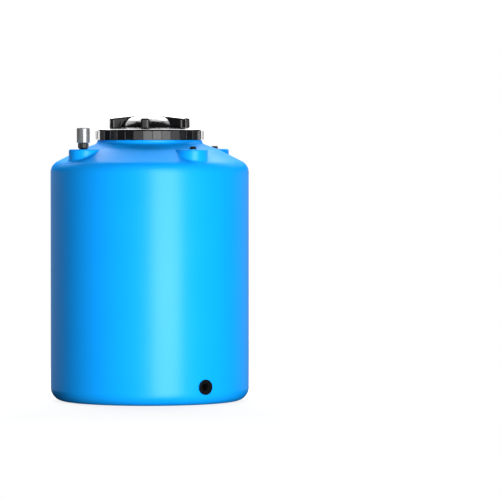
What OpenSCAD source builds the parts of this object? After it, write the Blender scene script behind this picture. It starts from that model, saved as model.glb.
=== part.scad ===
// Upright round water storage tank with a screw lid, a vent, plugged ports and a low outlet.
// Millimetres. The origin is the centre of the base, +Z is up and the outlet faces -Y.

/* [Tank body] */
// Outside diameter of the tank wall
body_d = 830; // [800:5:1000]
// Height of the flat port bosses above the base
deck_h = 1053; // [700:1:1600]
// Wall thickness of the moulded shell
wall_t = 6; // [4:0.5:8]
// Outside radius of the rounded base edge
base_fillet = 55; // [25:1:90]
// Outside radius of the rounded shoulder
shoulder_r = 61; // [30:1:80]
// Turn of the shoulder from the wall to the crease, in degrees
shoulder_turn = 45; // [35:1:55]
// Slope of the cone between the crease and the crown, in degrees
cone_angle = 25.6; // [20:0.1:30]
// Slope of the crown around the neck, in degrees
crown_angle = 16.2; // [10:0.1:20]

/* [Manhole neck] */
// Clear diameter of the manhole
manhole_d = 410; // [340:1:430]
// Wall thickness of the neck
neck_wall = 6; // [5:0.5:10]
// Height of the neck above its lip
neck_h = 35; // [30:1:60]
// How far the lip stands out from the neck
lip_proud = 8; // [6:0.5:12]
// Height of the lip above the fillet at its foot
lip_h = 8.5; // [8:0.5:20]
// Radius of the hollow fillet at the foot of the lip
neck_fillet = 14; // [6:1:25]

/* [Lid thread] */
// Number of thread starts
thread_starts = 4; // [2:1:6]
// Rise of the lid in one turn
thread_lead = 48; // [40:1:60]
// Radial height of a thread ridge
thread_h = 5.6; // [3:0.1:7]
// Radial play between a ridge and the opposite wall
thread_play = 1.8; // [1:0.1:3]
// Axial play between two ridges
ridge_play = 1.6; // [1:0.1:3]

/* [Lid] */
// Wall thickness of the lid
lid_wall = 4.6; // [3:0.1:6]
// Radius of the rounded top edge of the skirt
lid_round = 14; // [8:1:20]
// Thickness of the lid gasket
gasket_t = 4; // [2:0.5:8]
// Height of the dome above the ring
dome_h = 60; // [45:1:90]
// Distance from the manhole's wall in to the foot of the dome
dome_setback = 75; // [65:1:95]
// Distance from the manhole's wall in to the top of the dome
dome_top_setback = 127; // [115:1:140]
// Distance from the manhole's wall in to the outer ends of the grip bars
bars_setback = 27; // [18:1:40]
// Width of a grip bar
bar_w = 36; // [24:1:48]
// Height of a grip bar's outer end above the ring
bar_h = 49; // [35:1:55]
// Number of grip bars
bar_count = 6; // [4:1:8]
// Turn of the first grip bar from +X, in degrees
bar_turn = -9.9; // [-30:0.1:30]
// Number of ribs round the skirt
rib_count = 36; // [18:1:60]
// How far a rib stands out from the skirt
rib_proud = 3; // [1:0.5:5]

/* [Port bosses] */
// Radius of a boss
boss_r = 60; // [45:1:70]
// Distance from a boss to the outside of the wall
boss_edge = 27; // [20:1:60]
// Distance from the axis of a boss to the start of the crown
boss_reach = 43; // [30:1:50]
// Radius of the rounded top edge of a boss
boss_round = 8; // [6:0.5:10]

/* [Plugs] */
// Outside radius of a plug's threaded shank
plug_r = 10.3; // [8:0.1:14]
// Radius of the flange on a plug's head
plug_head_r = 15; // [15:0.5:20]
// Thickness of that flange
plug_flange_t = 3.4; // [2.5:0.1:6]
// Radius across the corners of a plug's hexagon
plug_hex_r = 12.5; // [9:0.5:14]
// Height of a plug's head with its hexagon
plug_head_h = 9.4; // [8:0.1:16]
// Length of a plug's shank below its head
plug_shank = 20; // [16:1:30]
// Thread pitch of the plugs and the vent
port_pitch = 4; // [3:0.5:5]
// Height of the brass inserts
insert_h = 24; // [18:1:32]
// Thickness of the port seals
seal_t = 2; // [1:0.25:4]

/* [Vent] */
// Outside radius of the vent's threaded shank
vent_r = 14; // [10:0.1:16]
// Radius of the vent collar
collar_r = 21.5; // [20:0.5:28]
// Height of the vent collar
collar_h = 23.4; // [16:0.1:40]
// Radius of the vent cap
cap_r = 27; // [25:0.5:36]
// Height of the vent cap
cap_h = 62.5; // [45:0.5:90]
// Wall thickness of the vent cap
cap_wall = 1.5; // [1:0.1:3]
// Radius of the air bore through the collar
vent_bore_r = 9; // [5:0.5:10]

/* [Outlet] */
// Height of the outlet's axis above the base
outlet_z = 76; // [70:1:200]
// Radius of the outlet's threaded bore
outlet_bore_r = 15.15; // [9:0.05:16]
// Wall thickness of the outlet tube
outlet_wall = 5.6; // [4:0.1:8]
// Radius of the outlet flange
flange_r = 30.75; // [28:0.25:40]
// Thickness of the outlet flange
flange_t = 7; // [4:0.5:12]
// Length of the outlet tube inside the gasket
outlet_tube = 40; // [34:1:60]
// Thickness of the outlet gasket and of the slip washer
outlet_seal_t = 2; // [1:0.25:3]
// Thickness of the backnut
backnut_t = 12; // [8:1:18]

/* [Fits] */
// Gap between faces that seat on each other and move apart
seat_gap = 0.3; // [0.2:0.05:0.5]
// Radial gap round a moulded or nested piece that stays put
nest_gap = 0.05; // [0.05:0.01:0.2]
// Gap between the skirt and the lip
lid_gap = 0.8; // [0.5:0.1:2]

/* [Hidden] */
PORTS = [["front", 270], ["right", 0], ["rear", 90]];
$fn = 120;

blue = [0.02, 0.64, 0.98];
black = [0.09, 0.09, 0.1];
rubber = [0.16, 0.16, 0.17];
brass = [0.78, 0.62, 0.3];
steel = [0.72, 0.73, 0.75];

body_r = body_d / 2;
boss_axis_r = body_r - boss_edge - boss_r;
crown_r = boss_axis_r - boss_reach;
// the crease lies on the cone, and the shoulder arc ends there
crease_r = body_r - shoulder_r * (1 - cos(shoulder_turn));
crease_z = deck_h - (crease_r - crown_r) * tan(cone_angle);
shoulder_z = crease_z - shoulder_r * sin(shoulder_turn);

manhole_r = manhole_d / 2;
neck_r = manhole_r + neck_wall;
lip_r = neck_r + lip_proud;
lip_round = 4;
lip_foot_z = crown_z(lip_r + neck_fillet) + neck_fillet / cos(crown_angle);
lip_top = lip_foot_z + lip_h;
rim_z = lip_top + neck_h;
rim_bevel = 1.5;

thread_pitch = thread_lead / thread_starts;
ridge_slant = 2;
ridge_sink = 0.8;
// mean width of a ridge, so that two ridges and their play fill the pitch
ridge_w = (thread_pitch - ridge_play) / 2;
ridge_margin = ridge_w / 2 + ridge_slant;
ridge_foot = 2;
neck_ridge_z = lip_top + lid_gap + ridge_margin + ridge_foot;
neck_ridge_sweep = (rim_z - ridge_margin - neck_ridge_z) / thread_lead * 360;

lid_inner_r = neck_r + thread_h + thread_play;
lid_r = lid_inner_r + lid_wall;
lid_foot = lip_top + lid_gap;
lid_under = rim_z + gasket_t + 2 * seat_gap;
ring_top = lid_under + lid_wall;
dome_top = ring_top + dome_h;
dome_edge_drop = 5;
dome_r = manhole_r - dome_setback;
dome_top_r = manhole_r - dome_top_setback;
bars_r = manhole_r - bars_setback;
annulus_r = bars_r + 3;
annulus_rise = 5;
bar_tilt = 7;
bar_round = 7;
// the turned cover that rounds the bars' ends lies just above their tops
bar_cover = 0.7;
bar_drop = 0.3;
lid_ridge_drop = 2;
// the lid's ridges run half a pitch from the neck's
lid_ridge_turn = (thread_pitch / 2 - lid_ridge_drop) / thread_lead * 360;
lid_ridge_sweep = (lid_under - lid_round - neck_ridge_z) / thread_lead * 360;
centring_rib = [3, 12];
// the ribs stop just short of the skirt's foot and of its rounded edge
rib_r = 0.6 * rib_proud;
rib_end = 1;
rib_h = ring_top - lid_round - lid_foot - 2 * rib_end;

boss_drop = deck_h - shoulder_z;
boss_collar_wall = 6;

port_ridge_h = 1.7;
port_play = 0.3;
port_ridge_slant = 0.4;
port_ridge_w = 1.3;
insert_wall = 2.9;
seal_lap = 0.5;
plug_bevel = 0.8;

collar_foot = deck_h + seal_t + 2 * seat_gap;
collar_top = collar_foot + collar_h;
collar_groove = 2.5;
vent_neck_r = 17;
vent_neck_h = 16;
screen_t = 1;
screen_ledge = 3;
screen_hole_r = 1.1;
screen_hole_step = 4;
cap_flange_t = 2.5;
cap_bevel = 3;
cap_round = 2;
cap_vent_r = 1.4;
cap_vent_count = 12;
knurl_count = 28;
knurl_r = 1;

outlet_tube_r = outlet_bore_r + outlet_wall;
pad_r = flange_r + 2;
// the flat pad stands just out of the round wall, and covers the wall's curve inside
pad_lift = 0.6;
pad_face = body_r + pad_lift;
pad_depth = pad_lift + wall_t + pad_r * pad_r / (2 * (body_r - wall_t)) + pad_lift / 2;

function crown_z(r) = deck_h + (crown_r - r) * tan(crown_angle);

function arc(centre, r, from, to, steps = 10) =
  [for (i = [0 : steps]) let (a = from + (to - from) * i / steps) centre + r * [cos(a), sin(a)]];

// One half of the shell's outline up to the crown, set in from the outside by a distance
function shell_outline(inset) = concat(
  [[0, inset]],
  arc([body_r - base_fillet, base_fillet], base_fillet - inset, -90, 0),
  arc([body_r - shoulder_r, shoulder_z], shoulder_r - inset, 0, shoulder_turn),
  [[crown_r, deck_h - inset / cos(cone_angle)]]
);

module tank_outside() {
  rotate_extrude() polygon(concat(
    shell_outline(0),
    arc([lip_r + neck_fillet, lip_foot_z], neck_fillet, 270 - crown_angle, 180),
    arc([lip_r - lip_round, lip_top - lip_round], lip_round, 0, 90),
    [[neck_r, lip_top], [neck_r, rim_z - rim_bevel], [neck_r - rim_bevel, rim_z], [0, rim_z]]
  ));
}

module tank_inside() {
  rotate_extrude() polygon(concat(
    shell_outline(wall_t),
    [[manhole_r, crown_z(manhole_r) - wall_t / cos(crown_angle)], [manhole_r, rim_z + 1], [0, rim_z + 1]]
  ));
}

// One side of a boss's outline, set in from the outside by a distance
function boss_side(inset) = concat(
  [[boss_r - inset, deck_h - boss_drop]],
  arc([boss_r - boss_round, deck_h - boss_round], boss_round - inset, 0, 90, 6)
);

// A round boss with straight sides that run in under the crown
module boss(inset) {
  side = boss_side(inset);
  mirrored = [for (i = [len(side) - 1 : -1 : 0]) [-side[i][0], side[i][1]]];
  rotate_extrude() polygon(concat([[0, deck_h - boss_drop]], side, [[0, deck_h - inset]]));
  translate([crown_r - boss_r - boss_axis_r, 0, 0]) rotate([90, 0, 90])
    linear_extrude(boss_axis_r - crown_r + boss_r) polygon(concat(side, mirrored));
}

module at_port(turn) {
  rotate(turn) translate([boss_axis_r, 0, 0]) children();
}

// The solid hub under a boss that holds a moulded-in insert
module insert_hub(shank_r) {
  hub_r = insert_r(shank_r) + boss_collar_wall;
  translate([0, 0, deck_h - insert_h]) cylinder(r = hub_r, h = insert_h - wall_t / 2);
}

module insert_seat(shank_r) {
  translate([0, 0, deck_h - insert_h - 1]) cylinder(r = insert_r(shank_r) + nest_gap, h = insert_h + 2);
}

// Local +Z points out of the tank, from the flat pad round the outlet
module at_outlet() {
  translate([0, -pad_face, outlet_z]) rotate([90, 0, 0]) children();
}

// A helical ridge on a wall of radius root, sunk into that wall a little, that fades at its ends.
// A crest smaller than the root makes the ridge of an inside thread.
module ridge(root, crest, mean_w, slant, lead, sweep, step) {
  way = crest > root ? 1 : -1;
  sunk = root - way * ridge_sink;
  count = max(4, ceil(sweep / step));
  fade = 3;
  rings = [for (i = [0 : count]) let (
      share = max(0.1, min(1, i / fade, (count - i) / fade)),
      top = root + (crest - root) * share,
      low_w = way * (mean_w + slant) / 2,
      top_w = way * (mean_w - slant) / 2
    ) [[sunk, -low_w], [top, -top_w], [top, top_w], [sunk, low_w]]];
  points = [for (i = [0 : count], p = rings[i]) let (a = sweep * i / count)
    [p[0] * cos(a), p[0] * sin(a), p[1] + lead * a / 360]];
  sides = [for (i = [0 : count - 1], k = [0 : 3]) let (
      a = 4 * i + k, b = 4 * i + (k + 1) % 4
    ) each [[a, b, b + 4], [a, b + 4, a + 4]]];
  last = 4 * count;
  polyhedron(points, concat([[3, 2, 1, 0]], sides, [[last, last + 1, last + 2, last + 3]]));
}

module tank_shell() {
  color(blue) {
    difference() {
      union() {
        difference() {
          union() {
            tank_outside();
            for (turn = [0 : 90 : 270]) at_port(turn) boss(0);
          }
          tank_inside();
          for (turn = [0 : 90 : 270]) at_port(turn) boss(wall_t);
        }
        at_port(180) insert_hub(vent_r);
        for (p = PORTS) at_port(p[1]) insert_hub(plug_r);
        at_outlet() translate([0, 0, -pad_depth]) cylinder(r = pad_r, h = pad_depth);
      }
      at_port(180) insert_seat(vent_r);
      for (p = PORTS) at_port(p[1]) insert_seat(plug_r);
      at_outlet() translate([0, 0, -2 * pad_depth]) cylinder(r = outlet_tube_r + seat_gap, h = 3 * pad_depth);
    }
    for (i = [0 : thread_starts - 1])
      rotate(360 / thread_starts * i) translate([0, 0, neck_ridge_z])
        ridge(neck_r, neck_r + thread_h, ridge_w, ridge_slant, thread_lead, neck_ridge_sweep, 5);
  }
}

function lid_outline(inset) = concat(
  [[0, lid_foot - inset], [lid_r - inset, lid_foot - inset]],
  arc([lid_r - lid_round, ring_top - lid_round], lid_round - inset, 0, 90),
  [
    [manhole_r - 2 * centring_rib[0] - inset, ring_top - inset],
    [annulus_r - inset, ring_top + annulus_rise - inset],
    [dome_r - inset / 2, ring_top + annulus_rise - inset],
    [dome_top_r - inset / 2, dome_top - dome_edge_drop - inset],
    [dome_top_r / 2, dome_top - dome_edge_drop / 4 - inset],
    [0, dome_top - inset]
  ]
);

// A radial bar with rounded edges that falls a little towards its outer end
module grip_bar(inset) {
  end_z = ring_top + bar_h - inset;
  half_w = bar_w / 2 - inset;
  round_r = max(bar_round - inset, 1);
  inner_r = dome_top_r - bar_w / 2;
  foot_z = ring_top - inset;
  depth = end_z - foot_z + bar_w;
  section = concat(
    [[half_w, -depth]],
    arc([half_w - round_r, -round_r], round_r, 0, 90, 6),
    arc([round_r - half_w, -round_r], round_r, 90, 180, 6),
    [[-half_w, -depth]]
  );
  intersection() {
    translate([bars_r, 0, end_z]) rotate([0, bar_tilt, 0]) translate([inner_r - bars_r, 0, 0])
      rotate([90, 0, 90]) linear_extrude(bars_r) polygon(section);
    rotate_extrude() polygon(concat(
      [[0, foot_z], [bars_r - inset, foot_z]],
      arc([bars_r - inset - round_r, end_z - round_r + bar_cover], round_r, 0, 60, 6),
      [[0, dome_top - inset - bar_drop]]
    ));
  }
}

module lid() {
  color(black) {
    difference() {
      union() {
        rotate_extrude() polygon(lid_outline(0));
        for (i = [0 : bar_count - 1]) rotate(bar_turn + 360 / bar_count * i) grip_bar(0);
        for (i = [0 : rib_count - 1]) rotate(360 / rib_count * i)
          translate([lid_r + rib_proud - rib_r, 0, lid_foot + rib_end]) cylinder(r = rib_r, h = rib_h);
      }
      rotate_extrude() polygon(lid_outline(lid_wall));
      for (i = [0 : bar_count - 1]) rotate(bar_turn + 360 / bar_count * i) grip_bar(lid_wall);
    }
    rotate_extrude() translate([manhole_r - 2 * centring_rib[0], lid_under - centring_rib[1]])
      square([centring_rib[0], centring_rib[1] + lid_wall / 2]);
    for (i = [0 : thread_starts - 1])
      rotate(360 / thread_starts * i + lid_ridge_turn) translate([0, 0, neck_ridge_z - lid_ridge_drop])
        ridge(lid_inner_r, lid_inner_r - thread_h, ridge_w, ridge_slant, thread_lead, lid_ridge_sweep, 5);
  }
}

module ring(outer, inner, h) {
  difference() {
    cylinder(r = outer, h = h);
    translate([0, 0, -1]) cylinder(r = inner, h = h + 2);
  }
}

module lid_gasket() {
  color(rubber) translate([0, 0, rim_z + seat_gap]) ring(neck_r - rim_bevel, manhole_r, gasket_t);
}

function insert_r(shank_r) = shank_r + port_play + insert_wall;

// A brass insert, flush with the boss, with an inside thread for a shank of this outside radius
module insert(shank_r) {
  bore_r = shank_r + port_play;
  color(brass) {
    translate([0, 0, deck_h - insert_h]) ring(insert_r(shank_r), bore_r, insert_h);
    translate([0, 0, insert_thread_z])
      ridge(bore_r, bore_r - port_ridge_h, port_ridge_w, port_ridge_slant, port_pitch, insert_sweep, 15);
  }
}

insert_thread_z = deck_h - insert_h + port_pitch;
insert_sweep = (insert_h - 2 * port_pitch) / port_pitch * 360;
shank_foot = collar_foot - plug_shank;
shank_sweep = 2 * 360;

// A hollow or solid shank below a head, with an outside thread half a pitch from the insert's
module shank(shank_r) {
  core_r = shank_r - port_ridge_h;
  steps_up = ceil((shank_foot + port_pitch - insert_thread_z) / port_pitch);
  translate([0, 0, shank_foot]) cylinder(r = core_r, h = plug_shank + 1);
  translate([0, 0, insert_thread_z + (steps_up + 0.5) * port_pitch])
    ridge(core_r, shank_r, port_ridge_w, port_ridge_slant, port_pitch, shank_sweep, 15);
}

module port_seal(shank_r) {
  color(rubber) translate([0, 0, deck_h + seat_gap])
    ring(insert_r(shank_r) + seal_lap, shank_r + port_play, seal_t);
}

module plug() {
  color(black) {
    shank(plug_r);
    translate([0, 0, collar_foot]) rotate_extrude() polygon([
      [0, 0], [plug_head_r - plug_bevel, 0], [plug_head_r, plug_bevel],
      [plug_head_r, plug_flange_t - plug_bevel], [plug_head_r - plug_bevel, plug_flange_t], [0, plug_flange_t]
    ]);
    translate([0, 0, collar_foot + plug_flange_t / 2])
      cylinder(r = plug_hex_r, h = plug_head_h - plug_flange_t / 2, $fn = 6);
  }
}

module vent_collar() {
  foot_bevel = 3.5;
  color(black) difference() {
    union() {
      shank(vent_r);
      translate([0, 0, collar_foot]) rotate_extrude() polygon([
        [0, 0], [collar_r - foot_bevel, 0], [collar_r, foot_bevel],
        [collar_r, collar_h - collar_groove], [collar_r - collar_groove, collar_h],
        [vent_neck_r, collar_h], [vent_neck_r, collar_h + vent_neck_h], [0, collar_h + vent_neck_h]
      ]);
    }
    translate([0, 0, shank_foot - 1]) cylinder(r = vent_bore_r, h = plug_shank + collar_h + vent_neck_h + 2);
    translate([0, 0, collar_top + vent_neck_h - screen_t])
      cylinder(r = vent_bore_r + screen_ledge + nest_gap, h = screen_t + 1);
    for (i = [0 : knurl_count - 1]) rotate(360 / knurl_count * i)
      translate([collar_r + knurl_r / 3, 0, collar_foot - 1]) cylinder(r = knurl_r, h = collar_h + 2);
  }
}

module vent_screen() {
  rows = ceil(vent_bore_r / screen_hole_step) + 1;
  color(steel) translate([0, 0, collar_top + vent_neck_h - screen_t]) difference() {
    cylinder(r = vent_bore_r + screen_ledge, h = screen_t);
    for (i = [-rows : rows], j = [-rows : rows]) {
      hole = screen_hole_step * [i + j / 2, j * sin(60)];
      if (norm(hole) + screen_hole_r < vent_bore_r)
        translate([hole[0], hole[1], -1]) cylinder(r = screen_hole_r, h = screen_t + 2);
    }
  }
}

module vent_cap() {
  color(steel) translate([0, 0, collar_top]) difference() {
    rotate_extrude() polygon(concat(
      [[0, 0], [cap_r - cap_bevel, 0], [cap_r, cap_bevel]],
      arc([cap_r - cap_round, cap_h - cap_round - 1], cap_round, 0, 80, 6),
      [[0, cap_h]]
    ));
    translate([0, 0, -1]) cylinder(r = vent_neck_r + nest_gap, h = cap_flange_t + 2);
    translate([0, 0, cap_flange_t]) cylinder(r = cap_r - cap_wall - cap_bevel / 2, h = cap_bevel);
    translate([0, 0, cap_bevel + cap_wall]) cylinder(r = cap_r - cap_wall, h = cap_h - cap_bevel - 3 * cap_wall);
    for (i = [0 : cap_vent_count - 1]) rotate(360 / cap_vent_count * i)
      translate([collar_r - cap_vent_r, 0, -1]) cylinder(r = cap_vent_r, h = cap_flange_t + 2);
  }
}

module outlet_body() {
  face_round = 2;
  color(black) at_outlet() difference() {
    union() {
      translate([0, 0, outlet_seal_t - outlet_tube]) cylinder(r = outlet_tube_r, h = outlet_tube + flange_t);
      translate([0, 0, outlet_seal_t]) rotate_extrude() polygon(concat(
        [[0, 0], [flange_r, 0]],
        arc([flange_r - face_round, flange_t - face_round], face_round, 0, 90, 5),
        [[0, flange_t]]
      ));
    }
    translate([0, 0, -2 * outlet_tube]) cylinder(r = outlet_bore_r, h = 4 * outlet_tube);
  }
}

module outlet_gasket() {
  color(rubber) at_outlet() ring(flange_r - 1, outlet_tube_r + seat_gap, outlet_seal_t);
}

module outlet_washer() {
  color(black) at_outlet() translate([0, 0, -pad_depth - outlet_seal_t])
    ring(flange_r - 1, outlet_tube_r + seat_gap, outlet_seal_t);
}

module outlet_backnut() {
  color(black) at_outlet() translate([0, 0, -pad_depth - outlet_seal_t - backnut_t]) difference() {
    union() {
      cylinder(r = flange_r, h = backnut_t, $fn = 8);
      translate([0, 0, backnut_t - 3]) cylinder(r = flange_r, h = 3);
    }
    translate([0, 0, -1]) cylinder(r = outlet_tube_r + nest_gap, h = backnut_t + 2);
  }
}

tank_shell();
lid();
lid_gasket();
at_port(180) insert(vent_r);  // vent_insert
at_port(180) port_seal(vent_r);  // vent_seal
at_port(180) vent_collar();
at_port(180) vent_screen();
at_port(180) vent_cap();
at_port(PORTS[0][1]) insert(plug_r);  // front_port_insert
at_port(PORTS[0][1]) port_seal(plug_r);  // front_plug_seal
at_port(PORTS[0][1]) plug();  // front_plug
at_port(PORTS[1][1]) insert(plug_r);  // right_port_insert
at_port(PORTS[1][1]) port_seal(plug_r);  // right_plug_seal
at_port(PORTS[1][1]) plug();  // right_plug
at_port(PORTS[2][1]) insert(plug_r);  // rear_port_insert
at_port(PORTS[2][1]) port_seal(plug_r);  // rear_plug_seal
at_port(PORTS[2][1]) plug();  // rear_plug
outlet_body();
outlet_gasket();
outlet_washer();
outlet_backnut();
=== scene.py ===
import math
import bpy
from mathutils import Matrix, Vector


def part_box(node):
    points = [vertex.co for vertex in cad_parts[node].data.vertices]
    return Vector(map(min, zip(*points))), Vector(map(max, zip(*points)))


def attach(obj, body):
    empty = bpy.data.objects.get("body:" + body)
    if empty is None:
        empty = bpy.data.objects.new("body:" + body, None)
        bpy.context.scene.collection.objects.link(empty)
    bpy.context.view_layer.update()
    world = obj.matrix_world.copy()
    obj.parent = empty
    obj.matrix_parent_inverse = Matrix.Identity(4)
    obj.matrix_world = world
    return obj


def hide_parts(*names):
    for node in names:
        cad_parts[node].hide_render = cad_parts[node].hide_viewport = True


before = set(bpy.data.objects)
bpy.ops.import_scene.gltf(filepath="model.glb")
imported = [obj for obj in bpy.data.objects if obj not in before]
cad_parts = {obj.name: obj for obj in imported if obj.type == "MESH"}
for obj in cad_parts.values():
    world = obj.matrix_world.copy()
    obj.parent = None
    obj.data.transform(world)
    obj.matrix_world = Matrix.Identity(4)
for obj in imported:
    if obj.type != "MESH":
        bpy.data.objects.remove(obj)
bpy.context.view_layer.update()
print("frame loaded,", len(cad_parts), "nodes")


# Modelling helpers

seamGap = 2e-6             # vertices nearer than this are merged
hair = 1e-5                # less than any detail
overshoot = 0.001          # how far a cutter passes the face that it opens
slipGap = 0.00005          # between pieces that slide into each other
sealGap = 0.0003           # between a seal and the face that presses on it
turnSteps = 96             # sides of a round piece
portSteps = 64             # sides of the small round pieces at the ports


def nothingSelected():
    bpy.ops.object.select_all(action="DESELECT")


def useOnly(piece):
    nothingSelected()
    piece.select_set(True)
    bpy.context.view_layer.objects.active = piece


def arcPoints(centre, radius, start, end, steps):
    turns = [math.radians(start + (end - start) * i / steps) for i in range(steps + 1)]
    return [(centre[0] + radius * math.cos(a), centre[1] + radius * math.sin(a)) for a in turns]


def rows(first, last, count):      # points between two outline points, both ends left out
    return [tuple(a + (b - a) * i / count for a, b in zip(first, last)) for i in range(1, count)]


def startPoint(name, place):       # a plane merged to one vertex, left in edit mode
    nothingSelected()
    bpy.ops.mesh.primitive_plane_add()
    piece = bpy.context.object
    piece.name = name
    bpy.ops.object.mode_set(mode="EDIT")
    bpy.ops.mesh.merge(type="CENTER")
    bpy.ops.transform.translate(value=place)
    return piece


def drawOn(points):                # draws the selected vertex on through (x, z) points
    for (x0, z0), (x1, z1) in zip(points, points[1:]):
        bpy.ops.mesh.extrude_vertices_move(TRANSFORM_OT_translate={"value": (x1 - x0, 0, z1 - z0)})


def closeUp():                     # merges seams and turns the faces outwards
    bpy.ops.mesh.select_all(action="SELECT")
    bpy.ops.mesh.remove_doubles(threshold=seamGap)
    bpy.ops.mesh.normals_make_consistent(inside=False)
    bpy.ops.object.mode_set(mode="OBJECT")


def turned(name, outline, axis=(0, 0), steps=turnSteps):
    piece = startPoint(name, (axis[0] + outline[0][0], axis[1], outline[0][1]))
    drawOn(outline)
    bpy.ops.mesh.select_all(action="SELECT")
    bpy.ops.mesh.spin(steps=steps, angle=math.tau, center=(axis[0], axis[1], 0), axis=(0, 0, 1))
    closeUp()
    return piece


def turnedAbout(piece, degrees):   # turns the piece itself about the tank's axis
    useOnly(piece)
    piece.rotation_euler.z = math.radians(degrees)
    bpy.ops.object.transform_apply(location=False, rotation=True, scale=False)
    return piece


def turnedCopy(piece, name, degrees):      # a copy with its own mesh, turned about the tank's axis
    useOnly(piece)
    bpy.ops.object.duplicate(linked=False)
    copy = bpy.context.object
    copy.name = name
    return turnedAbout(copy, degrees)


def joined(piece, others):
    useOnly(piece)
    for other in others:
        other.select_set(True)
    bpy.ops.object.join()
    return piece


def ringOf(piece, count, first=0):         # the piece repeated evenly round the tank's axis
    copies = [turnedCopy(piece, piece.name + "Copy", first + 360 / count * i) for i in range(1, count)]
    if first:
        turnedAbout(piece, first)
    return joined(piece, copies)


def combined(piece, tool, how):
    useOnly(piece)
    bpy.ops.object.modifier_add(type="BOOLEAN")
    boolean = piece.modifiers[-1]
    boolean.operation = how
    boolean.solver = "EXACT"
    boolean.object = tool
    bpy.ops.object.modifier_apply(modifier=boolean.name)
    bpy.data.objects.remove(tool)
    return piece


def added(piece, tool):
    return combined(piece, tool, "UNION")


def cutAway(piece, tool):
    return combined(piece, tool, "DIFFERENCE")


def movedTo(piece, place):                 # moves the mesh, so that the object stays at the origin
    useOnly(piece)
    piece.location = place
    bpy.ops.object.transform_apply(location=True, rotation=False, scale=False)
    return piece


def rod(name, radius, low, high, axis=(0, 0), sides=48):
    nothingSelected()
    bpy.ops.mesh.primitive_cylinder_add(vertices=sides, radius=radius, depth=high - low,
                                        location=(axis[0], axis[1], (low + high) / 2))
    piece = bpy.context.object
    piece.name = name
    bpy.ops.object.transform_apply(location=True, rotation=False, scale=False)
    return piece


def helix(name, root, crest, thread, sweep, foot, sink=0.0008, fadeSteps=3, thinEnd=0.1):
    # a ridge on a wall of radius root, swept up a right-hand helix; it fades into the wall at both ends
    width, slant, lead = thread["width"], thread["slant"], thread["lead"]
    way = 1 if crest > root else -1
    sunk = root - way * sink
    low, top = (width + slant) / 2, (width - slant) / 2
    section = [(sunk, -low), (crest, -top), (crest, top), (sunk, low), (sunk, -low)]
    piece = startPoint(name, (section[0][0], 0, section[0][1]))
    drawOn(section)
    bpy.ops.mesh.select_all(action="SELECT")
    bpy.ops.mesh.remove_doubles(threshold=seamGap)
    bpy.ops.object.mode_set(mode="OBJECT")
    steps = math.ceil(sweep / thread["step"])
    rise = lead * sweep / 360
    useOnly(piece)
    bpy.ops.object.modifier_add(type="SCREW")
    screw = piece.modifiers[-1]
    screw.angle = math.radians(sweep)
    screw.screw_offset = rise
    screw.steps = screw.render_steps = steps
    bpy.ops.object.modifier_apply(modifier=screw.name)
    # how far round a vertex is follows from its height
    fade = fadeSteps / steps
    for v in piece.data.vertices:
        r = math.hypot(v.co.x, v.co.y)
        share = (v.co.z + low) / (rise + 2 * low)
        share = max(thinEnd, min(1, share / fade, (1 - share) / fade))
        if abs(r - crest) < abs(crest - root) / 2:
            scale = (root + (crest - root) * share) / r
            v.co.x *= scale
            v.co.y *= scale
    bpy.ops.object.mode_set(mode="EDIT")
    bpy.ops.mesh.select_all(action="SELECT")
    bpy.ops.mesh.fill_holes(sides=0)
    closeUp()
    return movedTo(piece, (0, 0, foot))


def raisedPad(loop, coreLow, coreHigh, topAt, footAt, shape, gap=0.0002):
    # loop is an edge loop at z 0 round a flat core; rings are drawn down from it and set out from the core:
    # a rounded top edge, a straight side, a flare that runs out on the surface below and two rings under it
    roundSteps, flareSteps, edgeRound = shape["roundSteps"], shape["flareSteps"], shape["round"]
    flareStart = roundSteps + 1
    flareStop = flareStart + flareSteps
    useOnly(loop)
    bpy.ops.object.mode_set(mode="EDIT")
    bpy.ops.mesh.select_all(action="SELECT")
    for i in range(flareStop + 2):
        bpy.ops.mesh.extrude_region_move(TRANSFORM_OT_translate={"value": (0, 0, -1)})
    bpy.ops.mesh.select_all(action="SELECT")
    bpy.ops.mesh.fill_holes(sides=0)
    bpy.ops.object.mode_set(mode="OBJECT")
    for v in loop.data.vertices:
        ring = round(-v.co.z)
        core = Vector((min(max(v.co.x, coreLow[0]), coreHigh[0]),
                       min(max(v.co.y, coreLow[1]), coreHigh[1])))
        edge = Vector((v.co.x, v.co.y))
        out = (edge - core).normalized()
        top, foot = topAt(edge), footAt(edge)
        flare = max(2 * gap, min(shape["flare"], top - foot - edgeRound - gap))
        sideFoot = min(foot + flare, top - edgeRound - gap)
        corner = min(foot, sideFoot - gap)
        flareEnd = min(footAt(edge + out * flare) - shape["sink"], corner - gap)
        lean = shape.get("draft", 0) * (top - edgeRound - sideFoot)
        if ring <= roundSteps:
            a = math.pi / 2 * ring / roundSteps
            place = edge + out * edgeRound * (math.sin(a) - 1)
            height = topAt(place) - edgeRound * (1 - math.cos(a))
        elif ring <= flareStop:
            t = (ring - flareStart) / flareSteps
            place = edge + out * (lean + flare * t * t)
            height = (1 - t) ** 2 * sideFoot + 2 * t * (1 - t) * corner + t * t * flareEnd
        else:
            place = edge + out * (lean + flare)
            height = flareEnd - gap * 2 if ring == flareStop + 1 else shape["bottom"]
        v.co = (place.x, place.y, height)
    bpy.ops.object.mode_set(mode="EDIT")
    closeUp()
    return loop


def smoothed(piece, degrees=30):
    useOnly(piece)
    bpy.ops.object.shade_smooth_by_angle(angle=math.radians(degrees))
    return piece


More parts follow.
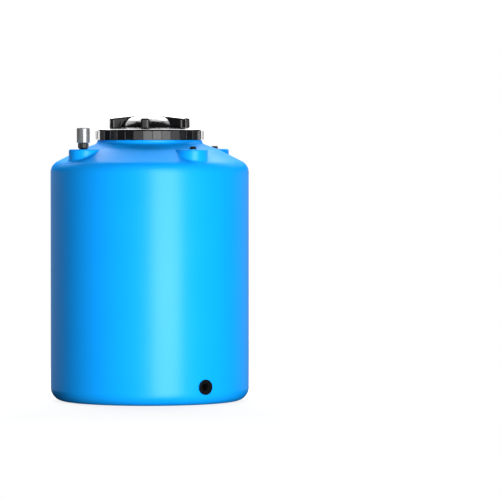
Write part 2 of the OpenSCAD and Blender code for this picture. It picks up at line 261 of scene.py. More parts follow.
def pick(piece, vertexTest=None, edgeTest=None):     # selects by a test and leaves the piece in edit mode
    useOnly(piece)
    bpy.ops.object.mode_set(mode="EDIT")
    bpy.ops.mesh.select_mode(type="EDGE" if edgeTest else "VERT")
    bpy.ops.mesh.select_all(action="DESELECT")
    bpy.ops.object.mode_set(mode="OBJECT")
    if edgeTest:
        for edge in piece.data.edges:
            edge.select = edgeTest(*(piece.data.vertices[i].co for i in edge.vertices))
    else:
        for v in piece.data.vertices:
            v.select = vertexTest(v.co)
    bpy.ops.object.mode_set(mode="EDIT")


def cutLongEdges(loop, longest, cuts):
    pick(loop, edgeTest=lambda first, last: (first - last).length > longest)
    bpy.ops.mesh.subdivide(number_cuts=cuts)
    bpy.ops.mesh.select_mode(type="VERT")
    bpy.ops.object.mode_set(mode="OBJECT")


def softEdges(piece, width, segments=2, degrees=40):     # a small bevel along the sharp edges
    useOnly(piece)
    bpy.ops.object.modifier_add(type="BEVEL")
    bevel = piece.modifiers[-1]
    bevel.width = width
    bevel.segments = segments
    bevel.limit_method = "ANGLE"
    bevel.angle_limit = math.radians(degrees)
    bpy.ops.object.modifier_apply(modifier=bevel.name)


# Shader maths: a wire is a node's output, and arithmetic on wires adds Math nodes

class Wire:
    def __init__(self, tree, socket):
        self.tree = tree
        self.socket = socket

    def maths(self, operation, first, second):
        return addNode(self.tree, "ShaderNodeMath", {"operation": operation}, {0: first, 1: second})

    def __add__(self, other):
        return self.maths("ADD", self, other)

    def __radd__(self, other):
        return self.maths("ADD", other, self)

    def __sub__(self, other):
        return self.maths("SUBTRACT", self, other)

    def __rsub__(self, other):
        return self.maths("SUBTRACT", other, self)

    def __mul__(self, other):
        return self.maths("MULTIPLY", self, other)

    def __rmul__(self, other):
        return self.maths("MULTIPLY", other, self)

    def __truediv__(self, other):
        return self.maths("DIVIDE", self, other)

    def __rtruediv__(self, other):
        return self.maths("DIVIDE", other, self)


def addNode(tree, kind, settings=None, inputs=None, output=0):
    node = tree.nodes.new(kind)
    for key, value in (settings or {}).items():
        setattr(node, key, value)
    for key, value in (inputs or {}).items():
        if isinstance(value, Wire):
            tree.links.new(value.socket, node.inputs[key])
        else:
            node.inputs[key].default_value = value
    return Wire(tree, node.outputs[output]) if node.outputs else None


def newMaterial(name, constants):
    material = bpy.data.materials.new(name)
    material.use_nodes = True
    tree = material.node_tree
    surface = next(n for n in tree.nodes if n.type == "BSDF_PRINCIPLED")
    for key, value in constants.items():
        surface.inputs[key].default_value = value
    place = addNode(tree, "ShaderNodeTexCoord", output="Object")
    return material, tree, surface, place


def noise(tree, place, scale, detail, roughness):
    return addNode(tree, "ShaderNodeTexNoise", None,
                   {"Vector": place, "Scale": scale, "Detail": detail, "Roughness": roughness}, "Fac")


def stretched(tree, place, scale):
    return addNode(tree, "ShaderNodeMapping", None, {"Vector": place, "Scale": scale})


def weighted(patterns, shares):    # the sum of some patterns, each times its share
    wires = [patterns[key] if share == 1 else patterns[key] * share for key, share in shares.items()]
    return sum(wires[1:], wires[0])


def blend(tree, value, limits):    # 0 below the lower limit, 1 above the upper one, smooth between them
    return addNode(tree, "ShaderNodeMapRange", {"interpolation_type": "SMOOTHSTEP"},
                   {"Value": value, "From Min": limits[0], "From Max": limits[1]})


def mixedColour(tree, factor, first, second):
    return addNode(tree, "ShaderNodeMix", {"data_type": "RGBA"}, {0: factor, 6: first, 7: second}, 2)


def feed(tree, surface, colour, roughness, height, bump):     # bump is its strength and distance
    relief = addNode(tree, "ShaderNodeBump", None,
                     {"Height": height, "Strength": bump[0], "Distance": bump[1]}, "Normal")
    for key, wire in (("Base Color", colour), ("Roughness", roughness), ("Normal", relief)):
        tree.links.new(wire.socket, surface.inputs[key])


# Finishes

mouldedBlue = {"colours": ((0.0010, 0.322, 0.97, 1), (0.0022, 0.350, 1.0, 1)), "constants": {"IOR": 1.5},
               "patterns": {"cloud": (5, 3, 0.55), "speck": (1500, 2, 0.55), "peel": (520, 2, 0.55)},
               "tint": {"cloud": 0.7, "speck": 0.3}, "roughness": 0.31,
               "roughBy": {"cloud": 0.06, "speck": 0.05}, "relief": {"peel": 1, "speck": 0.4},
               "bump": (0.12, 0.0006)}
glossBlack = {"colours": ((0.005, 0.005, 0.0055, 1), (0.011, 0.011, 0.012, 1)), "constants": {"IOR": 1.55},
              "patterns": {"scuff": (38, 6, 0.7), "grain": (900, 2, 0.55)}, "tint": {"scuff": 1},
              "roughness": 0.17, "roughBy": {"scuff": 0.12, "grain": 0.04}, "relief": {"grain": 1},
              "bump": (0.05, 0.0003)}
satinBlack = {"colours": ((0.0035, 0.0035, 0.004, 1), (0.0075, 0.0075, 0.008, 1)), "constants": {"IOR": 1.5},
              "patterns": {"scuff": (60, 5, 0.65), "grain": (1600, 3, 0.55)}, "tint": {"scuff": 1},
              "roughness": 0.38, "roughBy": {"grain": 0.2}, "relief": {"grain": 1}, "bump": (0.15, 0.0004)}
turnedSteel = {"colours": ((0.195, 0.197, 0.202, 1), (0.245, 0.248, 0.254, 1)),
               "constants": {"Metallic": 0.45}, "patterns": {"lines": (60, 4, 0.7), "cloud": (45, 3, 0.55)},
               "stretch": {"lines": (1, 1, 90)}, "tint": {"lines": 0.6, "cloud": 0.4}, "roughness": 0.15,
               "roughBy": {"lines": 0.10, "cloud": 0.05}, "relief": {"cloud": 1}, "bump": (0.006, 0.0002)}
turnedBrass = {"colours": ((0.42, 0.27, 0.09, 1), (0.76, 0.55, 0.23, 1)),
               "constants": {"Metallic": 1.0}, "patterns": {"lines": (120, 4, 0.7), "tarnish": (160, 5, 0.7)},
               "stretch": {"lines": (1, 1, 40)}, "tint": {"tarnish": 0.7, "lines": 0.3}, "roughness": 0.28,
               "roughBy": {"tarnish": 0.25}, "relief": {"lines": 1}, "bump": (0.08, 0.0003)}
sealRubber = {"colours": ((0.010, 0.010, 0.011, 1), (0.030, 0.030, 0.031, 1)), "constants": {"IOR": 1.48},
              "patterns": {"bloom": (90, 5, 0.7), "grain": (2200, 2, 0.55)}, "tint": {"bloom": 1},
              "roughness": 0.72, "roughBy": {"bloom": 0.2}, "relief": {"grain": 1}, "bump": (0.2, 0.0003)}


def patternedFinish(name, look):
    # two colours mixed by a tint, a roughness that swings with some patterns and a fine relief;
    # a pattern is the scale, detail and roughness of a noise
    material, tree, surface, place = newMaterial(name, look["constants"])
    stretch = look.get("stretch", {})
    patterns = {}
    for key, pattern in look["patterns"].items():
        where = stretched(tree, place, stretch[key]) if key in stretch else place
        patterns[key] = noise(tree, where, *pattern)
    colour = mixedColour(tree, weighted(patterns, look["tint"]), *look["colours"])
    rough = sum(((patterns[key] - 0.5) * width for key, width in look["roughBy"].items()), look["roughness"])
    feed(tree, surface, colour, rough, weighted(patterns, look["relief"]), look["bump"])
    return material


finishes = {"tank_blue": patternedFinish("mouldedBlue", mouldedBlue),
            "lid_black": patternedFinish("glossBlack", glossBlack),
            "fitting_black": patternedFinish("satinBlack", satinBlack),
            "vent_steel": patternedFinish("turnedSteel", turnedSteel),
            "insert_brass": patternedFinish("turnedBrass", turnedBrass),
            "seal_rubber": patternedFinish("sealRubber", sealRubber)}
print("finishes made:", ", ".join(finishes))

pieces = {}


def finished(piece, node, body, slot):
    # the piece takes its node's name with a suffix, its finish, its body and its place in the record
    piece.name = node + "_piece"
    piece.data.name = piece.name
    piece.data.materials.clear()
    piece.data.materials.append(finishes[slot])
    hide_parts(node)
    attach(piece, body)
    pieces[node] = piece


# Shared places, read from the frame

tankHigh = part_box("tank_shell")[1]
bodyRadius, rimZ = tankHigh.x, tankHigh.z
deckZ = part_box("front_port_insert")[1].z
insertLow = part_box("front_port_insert")[0].z
portRadius = -(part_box("front_port_insert")[0].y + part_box("front_port_insert")[1].y) / 2
lidFoot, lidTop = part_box("lid")[0].z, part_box("lid")[1].z
outletZ = (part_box("outlet_body")[0].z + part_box("outlet_body")[1].z) / 2
portAngles = {"right": 0, "rear": 90, "vent": 180, "front": 270}
pluggedPorts = ("front", "right", "rear")


# Moulded shell, with seats for the brass inserts

tank = {"wall": 0.006, "baseRound": 0.055, "baseSteps": 16, "wallRows": 14, "shoulderRound": 0.053,
        "shoulderSteps": 16, "coneSlope": 26.7, "coneRows": 6, "crownSlope": 20, "crownRadius": 0.285,
        "crownRows": 4, "footFillet": 0.0157, "filletSteps": 14, "lipRadius": 0.219, "lipRound": 0.003,
        "lipSteps": 8, "lipTop": 1.0912, "neckRadius": 0.211, "rimBevel": 0.0015, "manholeRadius": 0.205,
        "steps": 192}
neckThread = {"starts": 4, "crest": 0.2166, "width": 0.0052, "slant": 0.002, "lead": 0.048, "first": 1.0986,
              "sweep": 172.5, "step": 5}
boss = {"radius": 0.060, "innerEnd": 0.225, "arcVerts": 96, "longEdge": 0.02, "sideCuts": 30, "round": 0.008,
        "roundSteps": 8, "flare": 0.009, "flareSteps": 8, "sink": 0.00012, "bottom": 0.955}
hollowEdge = {"roundSteps": 3, "flare": 0.0005, "flareSteps": 2}     # under bosses and grip bars
insertPiece = {"plugOuter": 0.0135, "plugBore": 0.0106, "ventOuter": 0.0172, "ventBore": 0.0143,
               "ridge": 0.0017, "turns": 4, "bevel": 0.0004, "hubWall": 0.006}
outlet = {"padRadius": 0.03275, "padFace": bodyRadius + 0.0006, "padDepth": 0.0082, "hole": 0.02105,
          "holeLow": -0.02, "holeHigh": 0.01}
insertOuter = {port: insertPiece["ventOuter" if port == "vent" else "plugOuter"] for port in portAngles}


def coneHeight(radius):
    slope = tank["coneSlope"] if radius > tank["crownRadius"] else tank["crownSlope"]
    return deckZ + (tank["crownRadius"] - radius) * math.tan(math.radians(slope))


def shoulderFoot():                # where the straight wall ends, so that the shoulder runs into the cone
    turn = math.radians(90 - tank["coneSlope"])
    coneStart = bodyRadius - tank["shoulderRound"] * (1 - math.cos(turn))
    return coneHeight(coneStart) - tank["shoulderRound"] * math.sin(turn)


def wallOutline(inset):            # from the middle of the base up to the start of the crown
    slope, base, shoulder = tank["coneSlope"], tank["baseRound"], tank["shoulderRound"]
    baseArc = arcPoints((bodyRadius - base, base), base - inset, -90, 0, tank["baseSteps"])
    shoulderArc = arcPoints((bodyRadius - shoulder, shoulderFoot()), shoulder - inset, 0, 90 - slope,
                            tank["shoulderSteps"])
    crownStart = (tank["crownRadius"], deckZ - inset / math.cos(math.radians(slope)))
    outline = [(0, inset)] + baseArc + rows(baseArc[-1], shoulderArc[0], tank["wallRows"]) + shoulderArc
    return outline + rows(outline[-1], crownStart, tank["coneRows"]) + [crownStart]


def outsideOutline():
    neck, lip, fillet = tank["neckRadius"], tank["lipRadius"], tank["footFillet"]
    slope, lipRound, lipTop, bevel = tank["crownSlope"], tank["lipRound"], tank["lipTop"], tank["rimBevel"]
    filletZ = coneHeight(lip + fillet) + fillet / math.cos(math.radians(slope))
    filletArc = arcPoints((lip + fillet, filletZ), fillet, 270 - slope, 180, tank["filletSteps"])
    lipArc = arcPoints((lip - lipRound, lipTop - lipRound), lipRound, 0, 90, tank["lipSteps"])
    below = wallOutline(0)
    return (below + rows(below[-1], filletArc[0], tank["crownRows"]) + filletArc + lipArc
            + [(neck, lipTop), (neck, rimZ - bevel), (neck - bevel, rimZ), (0, rimZ)])


def insideOutline():
    hole, past = tank["manholeRadius"], rimZ + overshoot
    under = coneHeight(hole) - tank["wall"] / math.cos(math.radians(tank["crownSlope"]))
    return wallOutline(tank["wall"]) + [(hole, under), (hole, past), (0, past)]


def stadium(name, radius):         # the plan of a boss: a circle whose inner half is drawn towards the neck
    nothingSelected()
    bpy.ops.mesh.primitive_circle_add(vertices=boss["arcVerts"], radius=radius, fill_type="NOTHING",
                                      location=(portRadius, 0, 0))
    loop = bpy.context.object
    loop.name = name
    bpy.ops.object.transform_apply(location=True, rotation=False, scale=False)
    pick(loop, lambda place: place.x < portRadius - hair)
    bpy.ops.transform.translate(value=(boss["innerEnd"] - portRadius, 0, 0))
    bpy.ops.object.mode_set(mode="OBJECT")
    cutLongEdges(loop, boss["longEdge"], boss["sideCuts"])
    return loop


def bossPad(name, inset, footAt, shape):
    return raisedPad(stadium(name, boss["radius"] - inset), (boss["innerEnd"], 0), (portRadius, 0),
                     lambda p: deckZ - inset, footAt, shape)


def bossSolid():
    return bossPad("boss", 0, lambda p: coneHeight(p.length), boss)


def bossHollow():
    wall = tank["wall"]
    shape = dict(boss, round=boss["round"] - wall, **hollowEdge)
    return bossPad("bossHollow", wall, lambda p: shoulderFoot(), shape)


def outletWards(piece):            # turns a piece made along +Z so that it points out of the outlet pad
    useOnly(piece)
    piece.rotation_euler.x = math.radians(90)
    piece.location = (0, -outlet["padFace"], outletZ)
    bpy.ops.object.transform_apply(location=True, rotation=True, scale=False)
    return piece


def tankShell():
    shell = turned("tankShell", outsideOutline(), steps=tank["steps"])
    added(shell, ringOf(bossSolid(), len(portAngles)))
    cutAway(shell, turned("tankInside", insideOutline(), steps=tank["steps"]))
    cutAway(shell, ringOf(bossHollow(), len(portAngles)))
    hubTop = deckZ - tank["wall"] / 2
    for port, angle in portAngles.items():
        core = rod("hub", insertOuter[port] + insertPiece["hubWall"], insertLow, hubTop, (portRadius, 0))
        added(shell, turnedAbout(core, angle))
    pad = rod("pad", outlet["padRadius"], -outlet["padDepth"], 0, sides=turnSteps)
    added(shell, outletWards(pad))
    for port, angle in portAngles.items():
        seat = rod("seat", insertOuter[port] + slipGap, insertLow - overshoot, deckZ + overshoot,
                   (portRadius, 0), portSteps)
        cutAway(shell, turnedAbout(seat, angle))
    hole = rod("outletHole", outlet["hole"], outlet["holeLow"], outlet["holeHigh"], sides=portSteps)
    cutAway(shell, outletWards(hole))
    ridge = helix("neckRidge", tank["neckRadius"], neckThread["crest"], neckThread, neckThread["sweep"],
                  neckThread["first"])
    added(shell, ringOf(ridge, neckThread["starts"]))
    return smoothed(shell)


finished(tankShell(), "tank_shell", "tank", "tank_blue")
print("tank shell modelled")


# Screw lid

lid = {"wall": 0.0046, "panels": 36, "panelSteps": 6, "panelRadius": 0.2241, "topRound": 0.0095,
       "edgeSteps": 12, "ringDrop": 0.0587, "ringRise": 0.0047, "ringInner": 0.185, "footRise": 0.0061,
       "domeFoot": 0.142, "domeEdge": 0.078, "domeEdgeDrop": 0.005, "footSlope": 63, "edgeSlope": 5.2,
       "domeSteps": 18, "capSteps": 10, "smoothBelow": 25}
lidInside = {"radius": 0.2184, "drop": 0.0646, "rise": 0.005, "riseIn": 0.02, "round": 0.0034,
             "roundSteps": 8, "capDrop": 0.0015, "steps": 144, "ribRadius": 0.202, "ribWall": 0.003,
             "ribDepth": 0.012}
skirt = {"ribRadius": 0.0016, "ribOut": 0.2259, "ribSides": 16, "footFlat": 0.7, "footRise": 0.3,
         "low": 0.001, "high": 0.002}
bars = {"count": 6, "turn": -9.4, "width": 0.036, "outerEnd": 0.178, "innerEnd": 0.055, "corner": 0.0088,
        "cornerSegments": 6, "longEdge": 0.05, "sideCuts": 40, "endHeight": 0.0465, "topSink": 0.0005,
        "rise": 0.10, "round": 0.0082, "roundSteps": 7, "flare": 0.0015, "flareSteps": 4, "sink": 0.0001,
        "draft": 0.035, "root": 0.002, "hollowRound": 0.7, "hollowFoot": 0.075, "hollowBottom": 0.080}
lidThread = {"starts": 4, "crest": 0.2128, "width": 0.0052, "slant": 0.002, "lead": 0.048, "first": 1.0966,
             "sweep": 136.5, "step": 5, "turn": 30}
ringTop = lidTop - lid["ringDrop"]
lidUnder = lidTop - lidInside["drop"]


def domeArc():                     # centre and radius of the arc between the foot and the edge of the dome
    first = (lid["domeFoot"], ringTop + lid["footRise"])
    last = (lid["domeEdge"], lidTop - lid["domeEdgeDrop"])
    chord = math.dist(first, last)
    radius = chord / 2 / math.sin(math.radians(lid["footSlope"] - lid["edgeSlope"]) / 2)
    middle = math.radians(lid["footSlope"] + lid["edgeSlope"]) / 2
    drop = math.sqrt(radius ** 2 - (chord / 2) ** 2)
    centre = ((first[0] + last[0]) / 2 - drop * math.sin(middle),
              (first[1] + last[1]) / 2 - drop * math.cos(middle))
    return centre, radius


def capArc():                      # the shallow arc over the middle of the dome
    half, drop = lid["domeEdge"], lid["domeEdgeDrop"]
    radius = (half ** 2 + drop ** 2) / (2 * drop)
    return (0, lidTop - radius), radius


def domePoints(inset):
    centre, radius = domeArc()
    return arcPoints(centre, radius - inset, 90 - lid["footSlope"], 90 - lid["edgeSlope"], lid["domeSteps"])


def lidHeight(radius):
    if radius > lid["ringInner"]:
        ringOuter = lid["panelRadius"] - lid["topRound"]
        share = (ringOuter - radius) / (ringOuter - lid["ringInner"])
        return ringTop + lid["ringRise"] * max(0, share)
    if radius > lid["domeFoot"]:
        share = (lid["ringInner"] - radius) / (lid["ringInner"] - lid["domeFoot"])
        return ringTop + lid["ringRise"] + (lid["footRise"] - lid["ringRise"]) * share
    centre, arcRadius = domeArc() if radius > lid["domeEdge"] else capArc()
    return centre[1] + math.sqrt(arcRadius ** 2 - (radius - centre[0]) ** 2)


def lidOutline():
    radius, topRound = lid["panelRadius"], lid["topRound"]
    capCentre, capRadius = capArc()
    capTurn = math.degrees(math.asin(lid["domeEdge"] / capRadius))
    edgeArc = arcPoints((radius - topRound, ringTop - topRound), topRound, 0, 90, lid["edgeSteps"])
    cap = arcPoints(capCentre, capRadius, 90 - capTurn, 90, lid["capSteps"])
    return ([(0, lidFoot), (radius, lidFoot)] + edgeArc + [(lid["ringInner"], ringTop + lid["ringRise"])]
            + domePoints(0) + cap[1:-1] + [(0, lidTop)])


def lidUnderOutline():             # the inside, with the dome one wall below the outside
    wall, radius, corner = lid["wall"], lidInside["radius"], lidInside["round"]
    below = lidFoot - overshoot
    inner = arcPoints((radius - corner, lidUnder - corner), corner, 0, 90, lidInside["roundSteps"])
    dome = domePoints(wall)
    return ([(0, below), (radius, below)] + inner
            + [(lidInside["ribRadius"], lidUnder),
               (lid["domeFoot"] + lidInside["riseIn"], lidUnder + lidInside["rise"])]
            + dome + [(dome[-1][0] / 2, lidTop - wall - lidInside["capDrop"]), (0, lidTop - wall)])


def lidSkin():                     # the outside as a full solid, with flat panels round the skirt
    skin = turned("lidSkin", lidOutline(), steps=lid["panels"] * lid["panelSteps"])
    roundStart = ringTop - lid["topRound"]
    pitch = math.tau / lid["panels"]
    for v in skin.data.vertices:
        r = math.hypot(v.co.x, v.co.y)
        if r < lid["panelRadius"] - lid["topRound"]:
            continue
        turn = math.atan2(v.co.y, v.co.x) % pitch - pitch / 2
        flat = math.cos(pitch / 2) / math.cos(turn)
        fade = min(1, max(0, (v.co.z - roundStart) / lid["topRound"]))
        scale = flat + (1 - flat) * fade
        v.co.x *= scale
        v.co.y *= scale
    return skin


def barLoop(shrink):               # the plan of a grip bar, a rectangle with round corners
    nothingSelected()
    bpy.ops.mesh.primitive_plane_add(size=1, location=((bars["innerEnd"] + bars["outerEnd"]) / 2, 0, 0))
    loop = bpy.context.object
    loop.name = "gripBar"
    loop.scale = (bars["outerEnd"] - bars["innerEnd"] - 2 * shrink, bars["width"] - 2 * shrink, 1)
    bpy.ops.object.transform_apply(location=True, rotation=False, scale=True)
    bpy.ops.object.mode_set(mode="EDIT")
    bpy.ops.mesh.select_all(action="SELECT")
    bpy.ops.mesh.bevel(offset=bars["corner"] - shrink, segments=bars["cornerSegments"], affect="VERTICES")
    bpy.ops.mesh.select_all(action="SELECT")
    bpy.ops.mesh.delete(type="ONLY_FACE")
    bpy.ops.object.mode_set(mode="OBJECT")
    cutLongEdges(loop, bars["longEdge"], bars["sideCuts"])
    return loop


def barTop(place):
    return ringTop + bars["endHeight"] + (bars["outerEnd"] - place.x) * bars["rise"] - bars["topSink"]


def barPad(inset, footAt, shape):
    corner, half = bars["corner"], bars["width"] / 2
    coreLow = (bars["innerEnd"] + corner, -half + corner)
    coreHigh = (bars["outerEnd"] - corner, half - corner)
    return raisedPad(barLoop(inset), coreLow, coreHigh, lambda p: barTop(p) - inset, footAt, shape)


def gripBar():
    return barPad(0, lambda p: lidHeight(p.length), dict(bars, bottom=ringTop - bars["root"]))


def gripHollow():
    wall = lid["wall"]
    shape = dict(bars, draft=0, round=(bars["corner"] - wall) * bars["hollowRound"],
                 bottom=lidTop - bars["hollowBottom"])
    return barPad(wall, lambda p: lidTop - bars["hollowFoot"], dict(shape, **hollowEdge))


def skirtRib():                    # a half-round rib with a domed top
    r, low = skirt["ribRadius"], lidFoot + skirt["low"]
    high = ringTop - lid["topRound"] + skirt["high"]
    outline = [(0, low), (r * skirt["footFlat"], low), (r, low + r * skirt["footRise"])]
    outline += arcPoints((0, high - r), r, 0, 90, skirt["ribSides"] // 4)
    return turned("skirtRib", outline, (skirt["ribOut"] - r, 0), skirt["ribSides"])


def screwLid():
    cover = lidSkin()
    added(cover, ringOf(gripBar(), bars["count"], bars["turn"]))
    added(cover, ringOf(skirtRib(), lid["panels"]))
    cutAway(cover, turned("lidInside", lidUnderOutline(), steps=lidInside["steps"]))
    cutAway(cover, ringOf(gripHollow(), bars["count"], bars["turn"]))
    outer, inner = lidInside["ribRadius"], lidInside["ribRadius"] - lidInside["ribWall"]
    low, high = lidUnder - lidInside["ribDepth"], lidUnder + lid["wall"] / 2
    rib = [(inner, low), (outer, low), (outer, high), (inner, high), (inner, low)]
    added(cover, turned("centringRib", rib, steps=lidInside["steps"]))
    ridge = helix("lidRidge", lidInside["radius"], lidThread["crest"], lidThread, lidThread["sweep"],
                  lidThread["first"])
    added(cover, ringOf(ridge, lidThread["starts"], lidThread["turn"]))
    return smoothed(cover, lid["smoothBelow"])


finished(screwLid(), "lid", "lid_cover", "lid_black")
print("lid modelled")


# Rings: gaskets, seals and washers

def washer(name, outer, inner, low, high, bevel, steps=turnSteps):
    outline = [(inner, low), (outer - bevel, low), (outer, low + bevel), (outer, high - bevel),
               (outer - bevel, high), (inner, high), (inner, low)]
    return turned(name, outline, steps=steps)


def portRing(node, outer, inner, bevel):
    low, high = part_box(node)
    ring = washer(node, outer, inner, low.z, high.z, bevel, portSteps)
    return movedTo(ring, ((low.x + high.x) / 2, (low.y + high.y) / 2, 0))


gasketRing = {"outer": 0.2095, "inner": 0.205, "bevel": 0.0008}
sealRing = {"plugOuter": 0.0140, "plugInner": 0.0106, "ventOuter": 0.0177, "ventInner": 0.0143,
            "bevel": 0.0005}
gasketLow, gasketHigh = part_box("lid_gasket")
lidGasket = washer("lidGasket", gasketRing["outer"], gasketRing["inner"], gasketLow.z, gasketHigh.z,
                   gasketRing["bevel"], tank["steps"])
finished(smoothed(lidGasket), "lid_gasket", "lid_seal", "seal_rubber")
for port in pluggedPorts:
    seal = portRing(port + "_plug_seal", sealRing["plugOuter"], sealRing["plugInner"], sealRing["bevel"])
    finished(smoothed(seal), port + "_plug_seal", port + "_plug_base", "seal_rubber")
ventSeal = portRing("vent_seal", sealRing["ventOuter"], sealRing["ventInner"], sealRing["bevel"])
finished(smoothed(ventSeal), "vent_seal", "vent_base", "seal_rubber")
print("gasket and seals modelled")


# Brass inserts and plugs

portThread = {"width": 0.0013, "slant": 0.0004, "lead": 0.004, "step": 15, "plugTurns": 2, "plugFoot": 1.039}
plugPiece = {"flange": 0.015, "flangeThick": 0.0034, "flangeBevel": 0.0008, "core": 0.0086, "shank": 0.0103,
             "footBevel": 0.0015, "hexRadius": 0.0125, "hexBevel": 0.0005, "crownRadius": 0.013,
             "crownDrop": 0.0010, "crownTop": 0.0108, "crownOver": 0.0002}


def brassInsert(name, outer, bore):
    shape = washer(name, outer, bore, insertLow, deckZ, insertPiece["bevel"], portSteps)
    ridge = helix("insertRidge", bore, bore - insertPiece["ridge"], portThread, 360 * insertPiece["turns"],
                  insertLow + portThread["lead"])
    return movedTo(smoothed(added(shape, ridge)), (portRadius, 0, 0))


def screwedShank(name, body, core, shank):     # adds the thread that runs in a brass insert
    ridge = helix(name, core, shank, portThread, 360 * portThread["plugTurns"], portThread["plugFoot"])
    return added(body, ridge)


def portPlug():
    low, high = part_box("front_plug")
    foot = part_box("front_plug_seal")[1].z + sealGap
    b, flange, thick = plugPiece["flangeBevel"], plugPiece["flange"], plugPiece["flangeThick"]
    core, tip = plugPiece["core"], plugPiece["footBevel"]
    outline = [(0, low.z), (core - tip, low.z), (core, low.z + tip), (core, foot), (flange - b, foot),
               (flange, foot + b), (flange, foot + thick - b), (flange - b, foot + thick), (0, foot + thick)]
    plug = turned("plug", outline, steps=portSteps)
    nut = rod("plugNut", plugPiece["hexRadius"], foot + thick / 2, high.z, sides=6)
    crownOuter, crownTop = plugPiece["crownRadius"], high.z + plugPiece["crownOver"]
    crown = [(0, foot), (crownOuter, foot), (crownOuter, high.z - plugPiece["crownDrop"]),
             (plugPiece["crownTop"], crownTop), (0, crownTop)]
    combined(nut, turned("plugCrown", crown, steps=portSteps), "INTERSECT")
    softEdges(nut, plugPiece["hexBevel"])
    added(plug, nut)
    return movedTo(smoothed(screwedShank("plugRidge", plug, core, plugPiece["shank"])), (portRadius, 0, 0))


plugInsert = brassInsert("plugInsert", insertPiece["plugOuter"], insertPiece["plugBore"])
plugModel = portPlug()
for port in pluggedPorts:
    ring = turnedCopy(plugInsert, "ring", portAngles[port])
    finished(ring, port + "_port_insert", "tank", "insert_brass")
    plug = turnedCopy(plugModel, "plug", portAngles[port])
    finished(plug, port + "_plug", port + "_plug_head", "fitting_black")
for model in (plugInsert, plugModel):
    bpy.data.objects.remove(model)
ventInsert = brassInsert("ventInsert", insertPiece["ventOuter"], insertPiece["ventBore"])
finished(turnedAbout(ventInsert, portAngles["vent"]), "vent_insert", "tank", "insert_brass")
print("inserts and plugs modelled")


# Vent

collar = {"radius": 0.0221, "height": 0.0234, "footBevel": 0.0040, "groove": 0.0025, "neck": 0.017,
          "neckBevel": 0.0006, "bore": 0.009, "core": 0.0123, "coreBevel": 0.001, "shank": 0.014,
          "knurls": 16, "knurlRadius": 0.0026, "knurlSides": 12, "screenSeat": 0.01205,
          "screenThick": 0.001, "steps": 112}
cap = {"radius": 0.027, "wall": 0.0015, "bevel": 0.003, "topRound": 0.003, "topTurn": 86, "topSteps": 8,
       "flange": 0.0025, "rise": 0.0008, "airHoles": 12, "airRadius": 0.0014, "airSides": 16,
       "airPlace": 0.0201, "steps": 128}
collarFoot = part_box("vent_seal")[1].z + sealGap
collarTop = collarFoot + collar["height"]


def ventCollar():
    low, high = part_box("vent_collar")[0].z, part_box("vent_collar")[1].z
    radius, foot, groove = collar["radius"], collar["footBevel"], collar["groove"]
    core, tip, bore, seat = collar["core"], collar["coreBevel"], collar["bore"], collar["screenSeat"]
    neck, edge = collar["neck"], collar["neckBevel"]
    seatZ = high - collar["screenThick"]
    outline = [(bore, low), (core - tip, low), (core, low + tip), (core, collarFoot),
               (radius - foot, collarFoot), (radius, collarFoot + foot), (radius, collarTop - groove),
               (radius - groove, collarTop), (neck, collarTop), (neck, high - edge), (neck - edge, high),
               (seat, high), (seat, seatZ), (bore, seatZ), (bore, low)]
    body = turned("collar", outline, steps=collar["steps"])
    pinPlace = radius + collar["knurlRadius"] / 3
    groovePin = rod("knurl", collar["knurlRadius"], collarFoot - overshoot, collarTop + overshoot,
                    (pinPlace, 0), collar["knurlSides"])
    cutAway(body, ringOf(groovePin, collar["knurls"]))
    return smoothed(movedTo(screwedShank("collarRidge", body, core, collar["shank"]), (-portRadius, 0, 0)))


def ventCap():
    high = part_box("vent_cap")[1].z
    radius, wall, bevel, topRound = cap["radius"], cap["wall"], cap["bevel"], cap["topRound"]
    edgeZ, flangeZ = high - cap["rise"], collarTop + cap["flange"]
    inner, hole = radius - wall, collar["neck"] + slipGap
    outline = [(hole, collarTop), (radius - bevel, collarTop), (radius, collarTop + bevel)]
    outline += arcPoints((radius - topRound, edgeZ - topRound), topRound, 0, cap["topTurn"], cap["topSteps"])
    outline += [(radius / 2, high - cap["rise"] / 4), (0, high), (0, high - wall),
                (inner - topRound, edgeZ - wall), (inner, edgeZ - wall - topRound),
                (inner, collarTop + bevel + wall), (inner - bevel / 2, flangeZ), (hole, flangeZ),
                (hole, collarTop)]
    shell = turned("cap", outline, steps=cap["steps"])
    airHole = rod("airHole", cap["airRadius"], collarTop - overshoot, flangeZ + overshoot,
                  (cap["airPlace"], 0), cap["airSides"])
    cutAway(shell, ringOf(airHole, cap["airHoles"]))
    return smoothed(movedTo(shell, (-portRadius, 0, 0)))


finished(ventCollar(), "vent_collar", "vent", "fitting_black")
finished(ventCap(), "vent_cap", "vent", "vent_steel")
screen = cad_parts["vent_screen"]
screen.data.materials.clear()
screen.data.materials.append(finishes["vent_steel"])
print("vent modelled")


# Outlet, made along +Z from the pad and then turned outwards

fitting = {"flange": 0.0313, "flangeThick": 0.007, "backBevel": 0.0006, "round": 0.0009, "roundSteps": 6,
           "seal": 0.002, "tube": 0.02075, "tubeLength": 0.040, "tubeBevel": 0.001, "bore": 0.0163,
           "lead": 0.002, "recess": 0.0009, "recessInner": 0.0034, "recessOuter": 0.0042, "steps": 128}
pipeThread = {"crest": 0.01515, "width": 0.0011, "slant": 0.0008, "lead": 0.0023, "step": 10, "turns": 7,
              "drop": 0.004}
outletSeal = {"inset": 0.001, "gap": 0.0003, "bevel": 0.0004}
backnutPiece = {"height": 0.012, "flats": 8, "flatBevel": 0.0012, "flange": 0.003, "flangeBevel": 0.0005}


